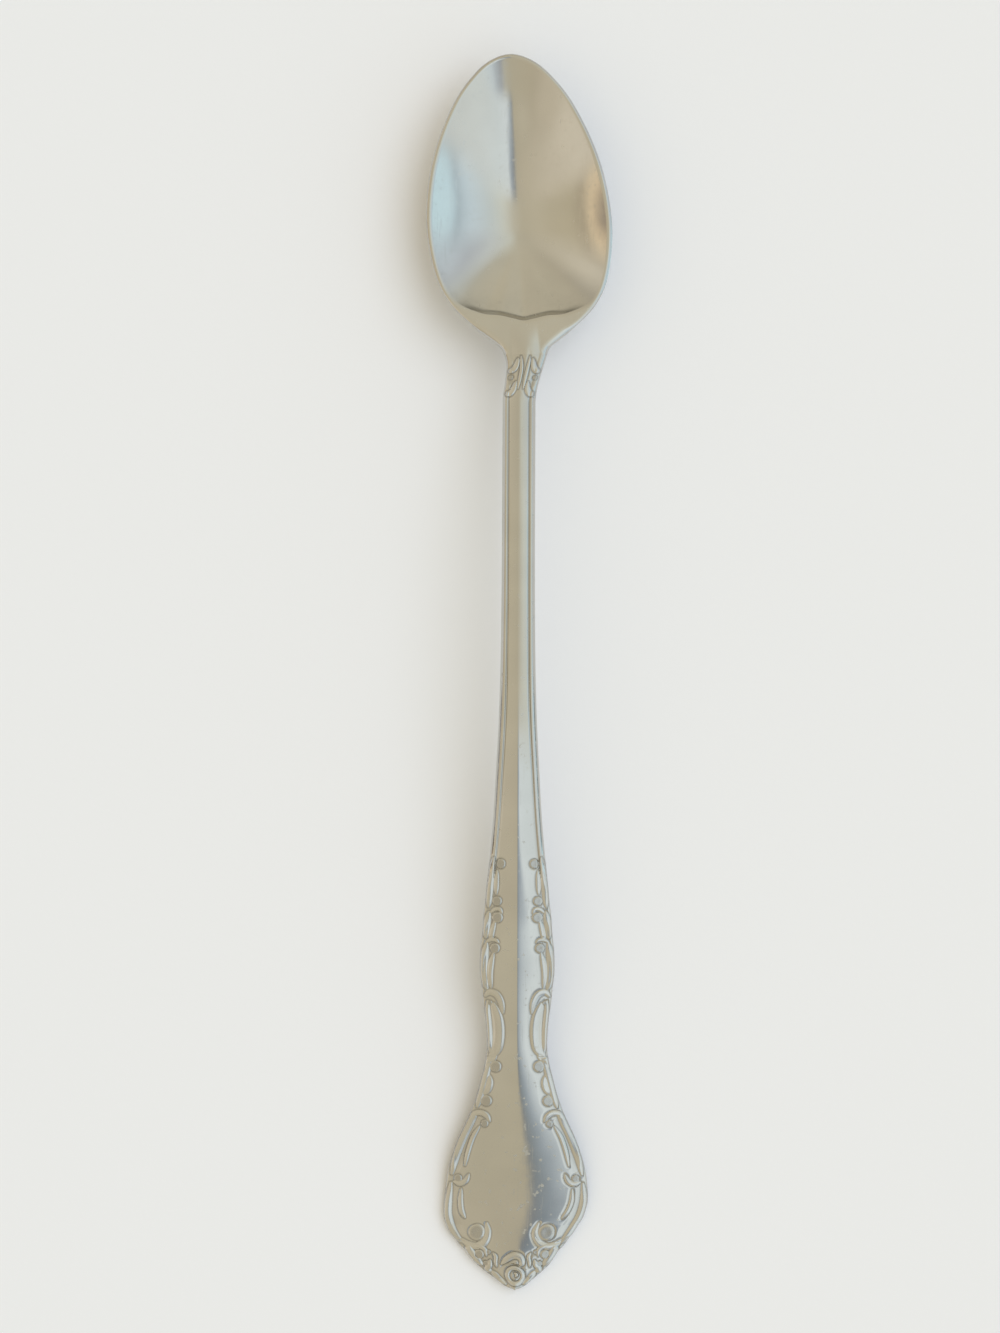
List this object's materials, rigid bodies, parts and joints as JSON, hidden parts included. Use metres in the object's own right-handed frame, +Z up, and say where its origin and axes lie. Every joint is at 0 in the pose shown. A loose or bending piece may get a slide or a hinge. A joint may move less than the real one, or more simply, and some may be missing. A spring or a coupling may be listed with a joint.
{
  "type": "iced tea spoon",
  "caption": "Long-handled stainless spoon with an egg-shaped bowl, arched beaded stem and scroll-bordered handle, for stirring tall drinks",
  "frame": {"origin": "on the table, below the middle of the spoon's length and width", "axes": "+Y along the spoon from the handle's tip towards the bowl's tip, +X to the right seen from above, +Z up from the table"},
  "size_m": [0.0289, 0.194, 0.0138],
  "materials": {
    "polished_steel": "polished",
    "buffed_steel": "gloss",
    "ornament_steel": "gloss"
  },
  "bodies": {
    "root": {"bowl": "polished_steel", "neck": "buffed_steel", "stem": "buffed_steel", "handle": "buffed_steel", "neck_scrolls": "ornament_steel", "scroll_border_left": "ornament_steel", "scroll_border_right": "ornament_steel", "crest": "ornament_steel"}
  },
  "joints": []
}
